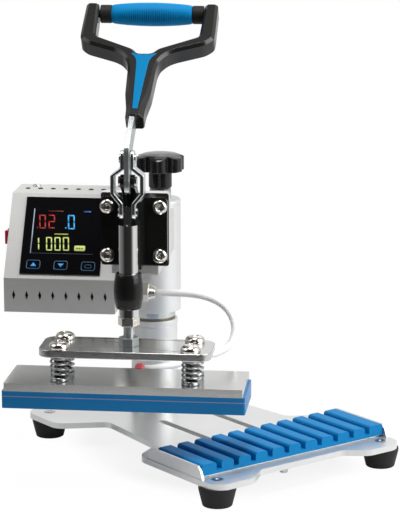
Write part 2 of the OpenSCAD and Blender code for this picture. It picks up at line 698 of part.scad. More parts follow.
// Toggle links
module link_shape() {
    a = bar_half + 0.2;
    t = link_t;
    b = link_wide;
    c = link_low;
    difference() {
        intersection() {
            face_on(-reach - 5, -reach + 5) polygon([[a, crank_z + 8], [a, crank_z - 7.5], [b, crank_z - 13],
                [b, crank_z - 25], [c, crank_z - 32.6], [c, foot_pin_z - 6], [c + t, foot_pin_z - 6],
                [c + t, crank_z - 34], [b + t, crank_z - 26.2], [b + t, crank_z - 11.8],
                [a + t, crank_z - 6.2], [a + t, crank_z + 8]]);
            side_on(0, 20) union() {
                translate([-reach, crank_z + 1.2]) circle(5);
                translate([-reach - 5, foot_pin_z]) square([10, link_len + 1.2]);
                translate([-reach, foot_pin_z]) circle(5);
            }
        }
        translate([0, -reach, crank_z]) rod_x(0, 20, link_pin_d + 2 * snug);
        translate([0, -reach, foot_pin_z]) rod_x(0, 20, link_pin_d + 2 * snug);
    }
}
module link_right() color(steel) on_clamp() link_shape();
module link_left() color(steel) on_clamp() mirror([1, 0, 0]) link_shape();
module headed_pin(grip) {
    rod_x(-grip - 1, grip + 1, link_pin_d);
    rod_x(-grip - 1, -grip, 6.4);
    rod_x(grip, grip + 1, 6.4);
}
module link_pins() color(steel) {
    at_plunger(crank_z) headed_pin(bar_half + 0.2 + link_t);
    at_plunger(foot_pin_z) for (s = [0, 1]) mirror([s, 0, 0]) {
        rod_x(tongue_half + 0.25, link_low + link_t + 1, link_pin_d);
        rod_x(link_low + link_t, link_low + link_t + 1, 6.4);
    }
}

// Plunger and top plate
module plunger() color(steel) at_plunger(0) difference() {
    union() {
        translate([0, 0, plunger_end]) cylinder(d = plunger_d + 0.4, h = 5.9);
        translate([0, 0, plunger_end]) cylinder(d = plunger_d, h = plunger_top - plunger_end);
        translate([-tongue_half, -tongue_d / 2, plunger_top - 1]) cube([2 * tongue_half, tongue_d, 14.8]);
    }
    translate([0, 0, plunger_end - 1]) cylinder(d = 8 + 2 * snug, h = 13);
}
module jam_nut() color(steel) at_plunger(jam_z) hex_nut(14.2, 6.6, 8 + 2 * snug);
module plate_stud() color(steel) at_plunger(top_z + 0.4) cylinder(d = 8, h = plunger_end + 11.6 - top_z);
module plate_nut() color(steel) at_plunger(top_z + top_t) hex_nut(13.2, 6.4, 8 + 2 * snug);
module at_springs() {
    for (sx = [-1, 1], sy = [-1, 1]) translate([sx * bolt_x, sy * bolt_y, 0]) children();
}
module top_plate() color(alu) at_platen(top_z) linear_extrude(top_t) difference() {
    pad(top_w, top_d, 10);
    translate([clamp_x, 0]) circle(d = 8 + 2 * snug);
    for (sx = [-1, 1], sy = [-1, 1]) translate([sx * bolt_x, sy * bolt_y]) circle(d = 8);
}
function coil(turns, r, h, n) = [for (i = [0:turns * n]) let (a = 360 * i / n)
    [r * cos(a), r * sin(a), h * i / (turns * n)]];
spring_turns = 4.5;
spring_rise = spring_len - wire_d - 2 * face;
echo(spring_self_gap = spring_rise / spring_turns - wire_d);
module pressure_springs() color(steel) at_platen(platen_top + wire_d / 2 + face) at_springs() {
    tube(coil(spring_turns, (spring_d - wire_d) / 2, spring_rise, 8), wire_d / 2, 6);
}

// Platen
module platen_bolts() color(steel) at_platen(0) at_springs() {
    translate([0, 0, platen_top - 5]) cylinder(d = 8 - 2 * run, h = spring_len + top_t + 5 + face);
    translate([0, 0, top_z + top_t + face]) rotate_extrude() polygon([[0, 0], [7.4, 0], [7.4, 1], [6.9, 2.4],
        [5.8, 3.7], [4.2, 4.7], [2.6, 5.2], [2.6, 2.4], [0, 2.4]]);
}
module heat_platen() color(alu) at_platen(platen_z) difference() {
    linear_extrude(platen_t) pad(platen_w, platen_d, 1.2);
    at_springs() translate([0, 0, platen_t - 5]) cylinder(d = 8 - 2 * run + 2 * snug, h = 6);
}
module cushion_sheet() color(blue) at_platen(cushion_z) linear_extrude(cushion_t) pad(block_w, platen_d, 1.5);
module heater_block() color(blue) at_platen(block_z) difference() {
    linear_extrude(block_t) pad(block_w, platen_d, 1.5);
    translate([-element_w / 2 - 1, -element_d / 2 - 1, block_t - element_t]) {
        cube([element_w + 2, element_d + 2, element_t + 1]);
    }
    translate([sensor_x, platen_d / 2 - sensor_len, block_t / 2 - 1]) rotate([-90, 0, 0]) {
        cylinder(d = 3 + 2 * snug, h = sensor_len + 2, $fn = 24);
    }
}
module heating_element() color(brass) at_platen(cushion_z - element_t) {
    translate([-element_w / 2, -element_d / 2, 0]) cube([element_w, element_d, element_t]);
}
module thermal_sensor() color(steel) at_platen(block_z + block_t / 2 - 1) {
    translate([sensor_x, platen_d / 2 - sensor_len, 0]) rotate([-90, 0, 0]) {
        cylinder(d = 3, h = sensor_len, $fn = 24);
    }
}
module cable_boot() color(red) on_head() {
    translate([0, boot_y, boot_z]) rotate([0, 90, 0]) rotate_extrude() {
        polygon([[0, 1.4], [2.6, 1.4], [4, 2.8], [4, boot_end - 1.2], [3, boot_end], [0, boot_end]]);
    }
    translate([2, -reach + platen_d / 2, boot_z - 3]) cube([5, 6, 5]);
}

base_plate();
rubber_feet();
foot_screws();
post();
post_bush();
post_bolt();
mould_tray();
pen_mould();
guide_studs();
guide_nuts();
lock_stud();
lock_nut();
spindle();
thrust_washer();
sleeve();
sleeve_cap();
head_arm();
arm_gusset();
mounting_plate();
clamp_body();
clamp_bolts();
pivot_pin();
box_shell();
box_back();
box_screws();
box_spacers();
display_panel();
circuit_board();
control_relay();
switch_frame();
switch_rocker();
power_inlet();
cable_gland();
heater_cable();
height_knob();
knob_nut();
handle_bar();
handle_frame();
handle_insert();
grip_rod();
grip_collars();
grip_sleeve();
link_left();
link_right();
link_pins();
plunger();
jam_nut();
plate_stud();
plate_nut();
top_plate();
pressure_springs();
platen_bolts();
heat_platen();
cushion_sheet();
heater_block();
heating_element();
thermal_sensor();
cable_boot();
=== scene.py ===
import bmesh
import bpy
import math
from mathutils import Matrix, Vector


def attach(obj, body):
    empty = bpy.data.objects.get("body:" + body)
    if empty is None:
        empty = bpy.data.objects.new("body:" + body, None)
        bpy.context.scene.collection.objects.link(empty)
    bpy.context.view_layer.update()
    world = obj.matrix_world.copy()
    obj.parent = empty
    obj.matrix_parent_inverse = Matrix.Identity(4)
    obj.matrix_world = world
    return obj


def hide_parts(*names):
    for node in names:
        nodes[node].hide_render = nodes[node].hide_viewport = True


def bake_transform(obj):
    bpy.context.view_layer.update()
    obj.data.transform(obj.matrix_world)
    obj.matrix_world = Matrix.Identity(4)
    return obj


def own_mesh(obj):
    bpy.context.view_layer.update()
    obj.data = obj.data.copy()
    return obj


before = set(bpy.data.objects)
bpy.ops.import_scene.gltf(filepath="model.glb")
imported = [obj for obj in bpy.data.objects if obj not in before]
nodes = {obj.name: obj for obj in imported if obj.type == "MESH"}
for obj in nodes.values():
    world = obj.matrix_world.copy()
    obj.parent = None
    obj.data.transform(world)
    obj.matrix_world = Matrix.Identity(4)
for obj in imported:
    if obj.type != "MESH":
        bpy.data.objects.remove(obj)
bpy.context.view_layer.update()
scene = bpy.context.scene
scene.view_settings.view_transform = "Standard"
mm = 0.001
tiny = 1e-6

# the head is packed swung off the mould, so its pieces are placed in a turned frame
head = {"swing": -43.57, "reach": 152.0, "bend": 253.0, "lean": 56.0, "handleShift": 2.8}
swing = math.radians(head["swing"])
headTurn = Matrix.Rotation(swing, 4, "Z")
unitScale = Matrix.Scale(mm, 4)


def onHead(x=0.0, y=0.0, z=0.0):
    return headTurn @ unitScale @ Matrix.Translation((x, y, z))


def headSpot(x, y, z):
    return onHead() @ Vector((x, y, z))


def onHandle():  # u across, w up the handle, n out of its face
    tilt = Matrix.Rotation(math.radians(90 - head["lean"]), 4, "X")
    return onHead(0, -head["reach"], head["bend"]) @ tilt @ Matrix.Translation((head["handleShift"], 0, 0))


def addObject(name, data):
    thing = bpy.data.objects.new(name, data)
    scene.collection.objects.link(thing)
    return thing


def lookAlong(thing, direction):
    thing.rotation_mode = "QUATERNION"
    thing.rotation_quaternion = direction.to_track_quat("-Z", "Y")


# camera, worked out from the edges of the object in the photo
photoCamera = {"place": (-1.0234, -1.4093, 0.5187), "forward": (0.5911, 0.7787, -0.2105), "lens": 156.3,
               "sensor": 36, "farClip": 50}
cameraData = bpy.data.cameras.new("photoCamera")
cameraData.sensor_width = photoCamera["sensor"]
cameraData.lens = photoCamera["lens"]
cameraData.clip_end = photoCamera["farClip"]
camera = addObject("photoCamera", cameraData)
camera.location = photoCamera["place"]
lookAlong(camera, Vector(photoCamera["forward"]))
scene.camera = camera
print("camera set")


class Wire:  # a socket that can be used in sums
    def __init__(self, paint, socket):
        self.paint = paint
        self.socket = socket

    def sum(self, operation, first, second):
        return self.paint.add("ShaderNodeMath", {"operation": operation}, {0: first, 1: second})["Value"]

    def __add__(self, other):
        return self.sum("ADD", self, other)

    def __sub__(self, other):
        return self.sum("SUBTRACT", self, other)

    def __rsub__(self, other):
        return self.sum("SUBTRACT", other, self)

    def __mul__(self, other):
        return self.sum("MULTIPLY", self, other)

    __radd__ = __add__
    __rmul__ = __mul__


class Paint:  # the nodes of one material or world
    def __init__(self, owner):
        owner.use_nodes = True
        self.owner = owner
        self.tree = owner.node_tree
        self.tree.nodes.clear()

    def add(self, kind, settings=None, sockets=None):
        node = self.tree.nodes.new(kind)
        for key, value in (settings or {}).items():
            if key == "stops":
                spots = node.color_ramp.elements
                while len(spots) < len(value):
                    spots.new(1.0)
                for spot, (place, shade) in zip(spots, value):
                    spot.position = place
                    spot.color = (shade, shade, shade, 1.0)
            else:
                setattr(node, key, value)
        for key, value in (sockets or {}).items():
            if isinstance(value, Wire):
                self.tree.links.new(value.socket, node.inputs[key])
            else:
                node.inputs[key].default_value = value
        return {out.name: Wire(self, out) for out in node.outputs if out.enabled}

    def blendColours(self, share, low, high):
        return self.add("ShaderNodeMix", {"data_type": "RGBA"}, {0: share, 6: low, 7: high})["Result"]


def tone(colour, gain=1.0):
    return (colour[0] * gain, colour[1] * gain, colour[2] * gain, 1.0)


# what a finish has where its own row says nothing else
plainLook = {"turn": 0, "stretch": (1, 1, 1), "drift": 22.0, "driftDetail": 2.0, "grainDetail": 5.0,
             "fleck": 0.25, "dark": 0.86, "light": 1.1, "depth": 0.0002, "metal": 0.0, "shine": 0.5}


def makeFinish(name, row):  # a tone that drifts, a fine grain in gloss and relief
    look = {**plainLook, **row}
    paint = Paint(bpy.data.materials.new(name))
    place = paint.add("ShaderNodeTexCoord")["Object"]
    laid = paint.add("ShaderNodeMapping", {}, {
        "Vector": place, "Rotation": (0, 0, math.radians(look["turn"])), "Scale": look["stretch"]})["Vector"]
    grain = paint.add("ShaderNodeTexNoise", {}, {
        "Vector": laid, "Scale": look["grain"], "Detail": look["grainDetail"]})["Fac"]
    drift = paint.add("ShaderNodeTexNoise", {}, {
        "Vector": place, "Scale": look["drift"], "Detail": look["driftDetail"]})["Fac"]
    mottle = drift * (1 - look["fleck"]) + grain * look["fleck"]
    colour = paint.blendColours(mottle, tone(look["tone"], look["dark"]), tone(look["tone"], look["light"]))
    rough = look["rough"] + (grain - 0.5) * look["spread"]
    relief = paint.add("ShaderNodeBump", {}, {
        "Height": grain, "Strength": look["relief"], "Distance": look["depth"]})["Normal"]
    shader = paint.add("ShaderNodeBsdfPrincipled", {}, {
        "Base Color": colour, "Roughness": rough, "Normal": relief, "Metallic": look["metal"],
        "Specular IOR Level": look["shine"]})
    paint.add("ShaderNodeOutputMaterial", {}, {"Surface": shader["BSDF"]})
    return paint.owner


finishes = {
    "plateSteel": {"tone": (0.73, 0.735, 0.73), "metal": 0.72, "rough": 0.32, "spread": 0.08, "grain": 420,
                   "relief": 0.02, "dark": 0.94, "light": 1.04},
    "satinSteel": {"tone": (0.77, 0.775, 0.77), "metal": 0.6, "rough": 0.44, "spread": 0.1, "grain": 160,
                   "stretch": (1, 1, 0.06), "relief": 0.03, "dark": 0.95, "light": 1.04},
    "silverPaint": {"tone": (0.615, 0.61, 0.595), "metal": 0.3, "rough": 0.48, "spread": 0.16, "grain": 1000,
                    "relief": 0.12, "dark": 0.86, "light": 1.13, "fleck": 0.6},
    "blackCast": {"tone": (0.009, 0.009, 0.0085), "rough": 0.2, "spread": 0.16, "grain": 900, "relief": 0.16,
                  "dark": 0.8, "light": 1.3, "shine": 0.32},
    "chrome": {"tone": (0.80, 0.80, 0.79), "metal": 1.0, "rough": 0.08, "spread": 0.03, "grain": 300,
               "relief": 0.01, "dark": 0.97, "light": 1.02},
    "nickel": {"tone": (0.79, 0.755, 0.70), "metal": 1.0, "rough": 0.19, "spread": 0.05, "grain": 500,
               "relief": 0.02, "dark": 0.95, "light": 1.04},
    "zinc": {"tone": (0.68, 0.71, 0.715), "metal": 1.0, "rough": 0.24, "spread": 0.12, "grain": 700,
             "relief": 0.05, "dark": 0.9, "light": 1.06},
    "barSteel": {"tone": (0.46, 0.49, 0.495), "metal": 0.8, "rough": 0.3, "spread": 0.12, "grain": 700,
                 "relief": 0.05, "dark": 0.88, "light": 1.08},
    "springSteel": {"tone": (0.42, 0.43, 0.44), "metal": 1.0, "rough": 0.28, "spread": 0.1, "grain": 700,
                    "relief": 0.04},
    "brass": {"tone": (0.22, 0.205, 0.15), "metal": 1.0, "rough": 0.3, "spread": 0.12, "grain": 500,
              "relief": 0.05},
    "brushedAlu": {"tone": (0.60, 0.605, 0.595), "metal": 0.92, "rough": 0.12, "spread": 0.06, "grain": 2600,
                   "turn": -head["swing"], "stretch": (0.012, 1, 1), "relief": 0.18, "dark": 0.92,
                   "light": 1.05},
    "blueSilicone": {"tone": (0.002, 0.155, 0.395), "rough": 0.36, "spread": 0.12, "grain": 1300,
                     "relief": 0.08, "dark": 0.9, "light": 1.1, "shine": 0.28},
    "mouldBlue": {"tone": (0.001, 0.195, 0.475), "rough": 0.5, "spread": 0.12, "grain": 1300, "relief": 0.08,
                  "dark": 0.9, "light": 1.1, "shine": 0.14},
    # black rubber for feet, nut, collars and rod; also the black of the painted shade in the box's vents
    "blackRubberAndShade": {"tone": (0.017, 0.017, 0.0165), "rough": 0.55, "spread": 0.14, "grain": 1200,
                    "relief": 0.16, "dark": 0.8, "light": 1.25, "shine": 0.2},
    "blackPlastic": {"tone": (0.011, 0.011, 0.010), "rough": 0.2, "spread": 0.1, "grain": 1700, "relief": 0.1,
                     "dark": 0.85, "light": 1.2, "shine": 0.5},
    "glossBlack": {"tone": (0.010, 0.010, 0.010), "rough": 0.14, "spread": 0.06, "grain": 900, "relief": 0.04,
                   "dark": 0.85, "light": 1.2},
    "displayGlass": {"tone": (0.004, 0.004, 0.005), "rough": 0.09, "spread": 0.03, "grain": 200,
                     "relief": 0.0},
    "bluePlastic": {"tone": (0.001, 0.20, 0.44), "rough": 0.45, "spread": 0.1, "grain": 1500, "relief": 0.07,
                    "dark": 0.92, "light": 1.1, "shine": 0.05},
    "gripBlue": {"tone": (0.001, 0.235, 0.55), "rough": 0.5, "spread": 0.1, "grain": 1500, "relief": 0.07,
                 "shine": 0.1},
    # painted shade: this dark blue stands for the shade in the grip's grooves, not for a darker plastic
    "grooveShadeBlue": {"tone": (0.001, 0.07, 0.20), "rough": 0.6, "spread": 0.1, "grain": 1500, "relief": 0.05,
                   "shine": 0.1},
    "redPlastic": {"tone": (0.62, 0.02, 0.025), "rough": 0.3, "spread": 0.08, "grain": 900, "relief": 0.05},
    "bootRubber": {"tone": (0.82, 0.13, 0.14), "rough": 0.34, "spread": 0.08, "grain": 900, "relief": 0.05},
    "seamTape": {"tone": (0.26, 0.21, 0.32), "rough": 0.6, "spread": 0.1, "grain": 700, "relief": 0.05},
    "whiteCable": {"tone": (0.97, 0.965, 0.945), "rough": 0.42, "spread": 0.1, "grain": 1100, "relief": 0.06,
                   "dark": 0.96, "light": 1.04},
    "boardGreen": {"tone": (0.02, 0.12, 0.05), "rough": 0.5, "spread": 0.1, "grain": 800, "relief": 0.05},
}
finish = {name: makeFinish(name, row) for name, row in finishes.items()}
print("finishes made:", len(finish))


# CAD nodes keep their shape; each gets its finish and a soft edge of this many millimetres
dressing = {
    "plateSteel": {"base_plate": 0.7, "mould_tray": 0.2},
    "satinSteel": {"post": 0.4, "post_bush": 0.5, "sleeve": 0.5, "sleeve_cap": 0.3},
    "silverPaint": {"head_arm": 0.8, "arm_gusset": 0.5, "box_shell": 0.4, "box_back": 0.4},
    "blackCast": {"clamp_body": 0.8},
    "chrome": {"plunger": 0.4, "mounting_plate": 0.5},
    "nickel": {"cable_gland": 0.3, "jam_nut": 0.5},
    "springSteel": {"knob_nut": 0.4},
    "zinc": {"post_bolt": 0.4, "guide_studs": 0.3, "guide_nuts": 0.3, "lock_stud": 0.3, "spindle": 0.3,
             "pivot_pin": 0.3, "box_spacers": 0.3, "link_left": 0.9, "link_right": 0.9, "link_pins": 0.35,
             "thermal_sensor": 0.2},
    "barSteel": {"handle_bar": 0.8, "plate_stud": 0.3, "plate_nut": 0.5},
    "brass": {"thrust_washer": 0.3, "heating_element": 0.2},
    "brushedAlu": {"top_plate": 0.6, "heat_platen": 0.5},
    "blueSilicone": {"cushion_sheet": 0.4, "heater_block": 0.5},
    "mouldBlue": {"pen_mould": 0.45},
    "blackRubberAndShade": {"rubber_feet": 0.7, "lock_nut": 0.4, "grip_collars": 0.7, "grip_rod": 0.3},
    "blackPlastic": {"control_relay": 0.5, "switch_frame": 0.4, "power_inlet": 0.5},
    "glossBlack": {"height_knob": 0.7},
    "displayGlass": {"display_panel": 0.3},
    "redPlastic": {"switch_rocker": 0.5},
    "bootRubber": {"cable_boot": 0.6},
    "boardGreen": {"circuit_board": 0.2},
}
softEdge = {"weld": 0.000004, "segments": 3, "angle": 34}


def addBevel(piece, width, segments=softEdge["segments"], angle=softEdge["angle"]):
    edges = piece.modifiers.new("softEdges", "BEVEL")
    edges.width = width * mm
    edges.segments = segments
    edges.limit_method = "ANGLE"
    edges.angle_limit = math.radians(angle)
    edges.harden_normals = True


def setSmooth(mesh):
    mesh.polygons.foreach_set("use_smooth", [True] * len(mesh.polygons))


def softenNode(node, look, width):
    piece = nodes[node]
    piece.data.materials.clear()
    piece.data.materials.append(finish[look])
    if "custom_normal" in piece.data.attributes:
        piece.data.attributes.remove(piece.data.attributes["custom_normal"])
    setSmooth(piece.data)
    joined = piece.modifiers.new("joined", "WELD")
    joined.merge_threshold = softEdge["weld"]
    addBevel(piece, width)


for look, members in dressing.items():
    for node, width in members.items():
        softenNode(node, look, width)
print("nodes dressed:", sum(len(members) for members in dressing.values()))


def keepMesh(name, mesh, material, body, stands=()):
    piece = addObject(name, mesh)
    if material is not None:
        mesh.materials.clear()
        mesh.materials.append(finish[material] if isinstance(material, str) else material)
    setSmooth(mesh)
    if body:
        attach(piece, body)
    if stands:
        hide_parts(*stands)
    return piece


def meshFrom(name, build, place=None):
    shape = bmesh.new()
    build(shape)
    if place is not None:
        bmesh.ops.transform(shape, matrix=place, verts=shape.verts)
    bmesh.ops.recalc_face_normals(shape, faces=shape.faces)
    mesh = bpy.data.meshes.new(name)
    shape.to_mesh(mesh)
    shape.free()
    return mesh


def wrapRows(shape, low, high):  # a band of faces between two closed rows of points
    for k in range(len(low)):
        q = (k + 1) % len(low)
        shape.faces.new((low[k], low[q], high[q], high[k]))


def slab(shape, outline, low, high):
    bottom = [shape.verts.new((p[0], p[1], low)) for p in outline]
    top = [shape.verts.new((p[0], p[1], high)) for p in outline]
    shape.faces.new(bottom[::-1])
    shape.faces.new(top)
    wrapRows(shape, bottom, top)


def rectangle(x0, y0, x1, y1):
    return [(x0, y0), (x1, y0), (x1, y1), (x0, y1)]


def roundCorners(points, radius, steps=5, most=0.45):
    result = []
    count = len(points)
    for i in range(count):
        a, b, c = (Vector(points[(i + k) % count]) for k in (-1, 0, 1))
        toA = a - b
        toC = c - b
        reach = min(radius, toA.length * most, toC.length * most)
        start = b + toA.normalized() * reach
        end = b + toC.normalized() * reach
        for k in range(steps + 1):
            t = k / steps
            result.append(start * (1 - t) ** 2 + b * 2 * t * (1 - t) + end * t * t)
    return result


def bothSides(half):  # a half outline and its mirror image
    return half + [(-u, w) for u, w in reversed(half)]


def spinProfile(shape, profile, sides, capHigh=True):
    rings = []
    for r, z in profile:
        if r < tiny:
            rings.append([shape.verts.new((0, 0, z))] * sides)
        else:
            angles = [2 * math.pi * k / sides for k in range(sides)]
            rings.append([shape.verts.new((r * math.cos(a), r * math.sin(a), z)) for a in angles])
    for low, high in zip(rings, rings[1:]):
        for k in range(sides):
            loop = []
            for v in (low[k], low[(k + 1) % sides], high[(k + 1) % sides], high[k]):
                if v not in loop:
                    loop.append(v)
            if len(loop) > 2:
                shape.faces.new(loop)
    if profile[0][0] > tiny:
        shape.faces.new(rings[0])
    if capHigh and profile[-1][0] > tiny:
        shape.faces.new(rings[-1])


# heater cable: from the gland on the box round to the boot on the platen
cable = {
    "diameter": 5.6, "sides": 14, "steps": 6, "sideHint": (0.02, 0.05, 1),
    "bendFrom": (70, -60, 96), "bendTo": (14, -119, 82.2),
    "route": [(7.2, -45, 123.9), (20, -45, 123.9), (33, -45.5, 123.7), (45, -46.5, 122.3), (56, -48.5, 118.9),
              (64.5, -51.5, 113.1), (69.6, -55, 104.9), (70.6, -60, 95.9), (67, -67, 87.9),
              (59.5, -74.35, 84.45), (49.5, -85.35, 84.2), (38.5, -97.7, 83.0), (28, -108.7, 82.4),
              (19.5, -115.5, 82.2), (14, -118.8, 82.2), (11.5, -119.7, 82.2), (8.6, -119.7, 82.2)],
}


def smoothRoute(points, steps):
    knots = [points[0] * 2 - points[1], *points, points[-1] * 2 - points[-2]]
    route = []
    for i in range(1, len(knots) - 2):
        a, b, c, d = knots[i - 1:i + 3]
        for k in range(steps):
            t = k / steps
            square = (2 * a - 5 * b + 4 * c - d) * t * t
            cube = (3 * b - a - 3 * c + d) * t ** 3
            route.append(0.5 * (2 * b + (c - a) * t + square + cube))
    return [*route, points[-1]]


def sweepTube(shape, route, radius, sides):
    rings = []
    side = Vector(cable["sideHint"]).cross(route[1] - route[0]).normalized()
    for i, spot in enumerate(route):
        along = (route[min(i + 1, len(route) - 1)] - route[max(i - 1, 0)]).normalized()
        side = (side - along * side.dot(along)).normalized()
        up = along.cross(side)
        rings.append([shape.verts.new(spot + (side * math.cos(a) + up * math.sin(a)) * radius)
                      for a in (2 * math.pi * k / sides for k in range(sides))])
    for low, high in zip(rings, rings[1:]):
        wrapRows(shape, low, high)
    shape.faces.new(rings[0])
    shape.faces.new(rings[-1])


def cableShape(shape):
    sweepTube(shape, cableRoute, cable["diameter"] * mm / 2, cable["sides"])


cableRoute = smoothRoute([headSpot(*p) for p in cable["route"]], cable["steps"])
cableLength = sum((b - a).length for a, b in zip(cableRoute, cableRoute[1:]))
cableMesh = meshFrom("heaterCable", cableShape)
heaterCable = keepMesh("heaterCable", cableMesh, "whiteCable", None, ["heater_cable"])
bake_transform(heaterCable)
print("cable laid, metres:", round(cableLength, 4))


# geometry nodes: one call adds a node, sets it, wires its sockets and hands back its outputs
def growNode(tree, kind, settings=None, sockets=None):
    node = tree.nodes.new(kind)
    for key, value in (settings or {}).items():
        setattr(node, key, value)
    for key, value in (sockets or {}).items():
        if isinstance(value, list):
            for source in value:
                tree.links.new(source, node.inputs[key])
        elif isinstance(value, bpy.types.NodeSocket):
            tree.links.new(value, node.inputs[key])
        else:
            node.inputs[key].default_value = value
    return node.outputs


socketKinds = {float: "NodeSocketFloat", int: "NodeSocketInt", tuple: "NodeSocketVector"}


def startTree(name, sizes):
    tree = bpy.data.node_groups.new(name, "GeometryNodeTree")
    tree.interface.new_socket("Geometry", in_out="INPUT", socket_type="NodeSocketGeometry")
    for label, value in sizes.items():
        socket = tree.interface.new_socket(label, in_out="INPUT", socket_type=socketKinds[type(value)])
        socket.default_value = value
    tree.interface.new_socket("Geometry", in_out="OUTPUT", socket_type="NodeSocketGeometry")
    return tree, tree.nodes.new("NodeGroupInput").outputs


def endTree(tree, result, material):
    whole = growNode(tree, "GeometryNodeRealizeInstances", None, {0: result})
    coated = growNode(tree, "GeometryNodeSetMaterial", None, {"Geometry": whole[0], "Material": material})
    growNode(tree, "NodeGroupOutput", None, {0: coated[0]})
    return tree


def growPiece(name, tree, points, values, body, stands=()):
    mesh = bpy.data.meshes.new(name)
    mesh.from_pydata([tuple(p) for p in points], [], [])
    seed = addObject(name + "Seed", mesh)
    grown = seed.modifiers.new("grown", "NODES")
    grown.node_group = tree
    names = {item.name: item.identifier for item in tree.interface.items_tree if item.in_out == "INPUT"}
    for label, value in values.items():
        grown[names[label]] = value
    view = bpy.context.evaluated_depsgraph_get()
    result = bpy.data.meshes.new_from_object(seed.evaluated_get(view))
    result.name = name
    bpy.data.objects.remove(seed)
    return keepMesh(name, result, None, body, stands)


# pressure springs: a coil with closed end turns on each point
spring = {"turns": 4.5, "outside": 14.0, "wire": 1.75, "low": 83.9, "high": 102.9, "seatGap": 0.05,
          "free": 19.0, "travel": 6.0, "wireSides": 10, "turnSteps": 26, "ringSteps": 30,
          "places": [(48.8, 14.0), (-48.8, 14.0), (48.8, -14.0), (-48.8, -14.0)]}


def springTree():
    tree, size = startTree("coilSpring", {"Turns": 4.5, "Radius": 0.006, "Wire": 0.0009, "Rise": 0.017})
    wire = growNode(tree, "GeometryNodeCurvePrimitiveCircle", None, {
        "Resolution": spring["wireSides"], "Radius": size["Wire"]})
    coil = growNode(tree, "GeometryNodeCurveSpiral", None, {
        "Resolution": spring["turnSteps"], "Rotations": size["Turns"], "Start Radius": size["Radius"],
        "End Radius": size["Radius"], "Height": size["Rise"]})
    ring = growNode(tree, "GeometryNodeCurvePrimitiveCircle", None, {
        "Resolution": spring["ringSteps"], "Radius": size["Radius"]})
    lift = growNode(tree, "ShaderNodeCombineXYZ", None, {"Z": size["Rise"]})
    top = growNode(tree, "GeometryNodeTransform", None, {"Geometry": ring[0], "Translation": lift[0]})
    path = growNode(tree, "GeometryNodeJoinGeometry", None, {0: [top[0], ring[0], coil[0]]})
    body = growNode(tree, "GeometryNodeCurveToMesh", None, {
        "Curve": path[0], "Profile Curve": wire[0], "Fill Caps": True})
    points = growNode(tree, "GeometryNodeMeshToPoints", None, {"Mesh": size["Geometry"]})
    coils = growNode(tree, "GeometryNodeInstanceOnPoints", None, {"Points": points[0], "Instance": body[0]})
    return endTree(tree, coils[0], finish["springSteel"])


springFoot = spring["low"] + spring["wire"] / 2 + spring["seatGap"]
springSeats = [headSpot(x, y - head["reach"], springFoot) for x, y in spring["places"]]
springSizes = {"Turns": spring["turns"], "Radius": (spring["outside"] - spring["wire"]) / 2 * mm,
               "Wire": spring["wire"] / 2 * mm,
               "Rise": (spring["high"] - spring["low"] - spring["wire"] - 2 * spring["seatGap"]) * mm}
springs = growPiece("pressureSprings", springTree(), springSeats, springSizes, "press",
                    ["pressure_springs"])
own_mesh(springs)
print("springs wound")


# button-head bolts with a hex socket: one head, set on each place by geometry nodes
boltKinds = {
    "platenBolts": {"radius": 7.4, "height": 5.2, "socket": 2.6, "depth": 2.8, "shank": 3.94, "length": 29.5,
                    "sides": 48},
    "clampBolts": {"radius": 5.6, "height": 3.6, "socket": 2.5, "depth": 2.4, "shank": 2.98, "length": 15.0,
                   "sides": 40},
    "footScrews": {"radius": 4.4, "height": 0.35, "socket": 1.5, "depth": 1.4, "shank": 2.4, "length": 11.0,
                   "sides": 32},
    "coverScrews": {"radius": 2.8, "height": 1.55, "socket": 0.9, "depth": 1.0, "shank": 1.48, "length": 4.0,
                    "sides": 24},
    "topScrew": {"radius": 3.2, "height": 1.9, "socket": 1.2, "depth": 1.2, "shank": 1.48, "length": 4.0,
                 "sides": 24},
}
boltForm = {"flat": 0.36, "wall": 0.28, "rows": (0, 0.14, 0.28, 0.42, 0.56, 0.7, 0.85, 1.0), "tip": 0.5,
            "foot": 0.15, "lip": 1.2, "lipReach": 1.05, "rimDrop": 0.06, "pitDrop": 0.3}


def boltShape(shape, size):
    r = size["radius"]
    h = size["height"]
    shank = size["shank"]
    low = -size["length"]
    flat = boltForm["flat"]
    wall = boltForm["wall"]
    lip = size["socket"] * boltForm["lip"]
    turns = [math.pi / 2 * t for t in boltForm["rows"]]
    dome = [(r * flat + r * (1 - flat) * math.cos(a), h * wall + h * (1 - wall) * math.sin(a)) for a in turns]
    outer = [(0, low), (shank - boltForm["tip"], low), (shank, low + boltForm["tip"]), (shank, 0),
             (r - boltForm["foot"], 0), (r, boltForm["foot"])]
    spinProfile(shape, [*outer, *[p for p in dome if p[0] > lip], (lip, h)], size["sides"], False)
    reachable = lip * boltForm["lipReach"]
    rim = [v for v in shape.verts if abs(v.co.z - h) < tiny and v.co.xy.length < reachable]
    rim.sort(key=lambda v: math.atan2(v.co.y, v.co.x))
    hexRim = []
    hexFoot = []
    for v in rim:
        a = math.atan2(v.co.y, v.co.x)
        reach = size["socket"] * math.cos(math.pi / 6) / math.cos((a % (math.pi / 3)) - math.pi / 6)
        x = reach * math.cos(a)
        y = reach * math.sin(a)
        hexRim.append(shape.verts.new((x, y, h - boltForm["rimDrop"])))
        hexFoot.append(shape.verts.new((x, y, h - size["depth"])))
    pit = shape.verts.new((0, 0, h - size["depth"] - boltForm["pitDrop"]))
    wrapRows(shape, rim, hexRim)
    wrapRows(shape, hexRim, hexFoot)
    for k in range(len(hexFoot)):
        shape.faces.new((hexFoot[k], hexFoot[(k + 1) % len(hexFoot)], pit))


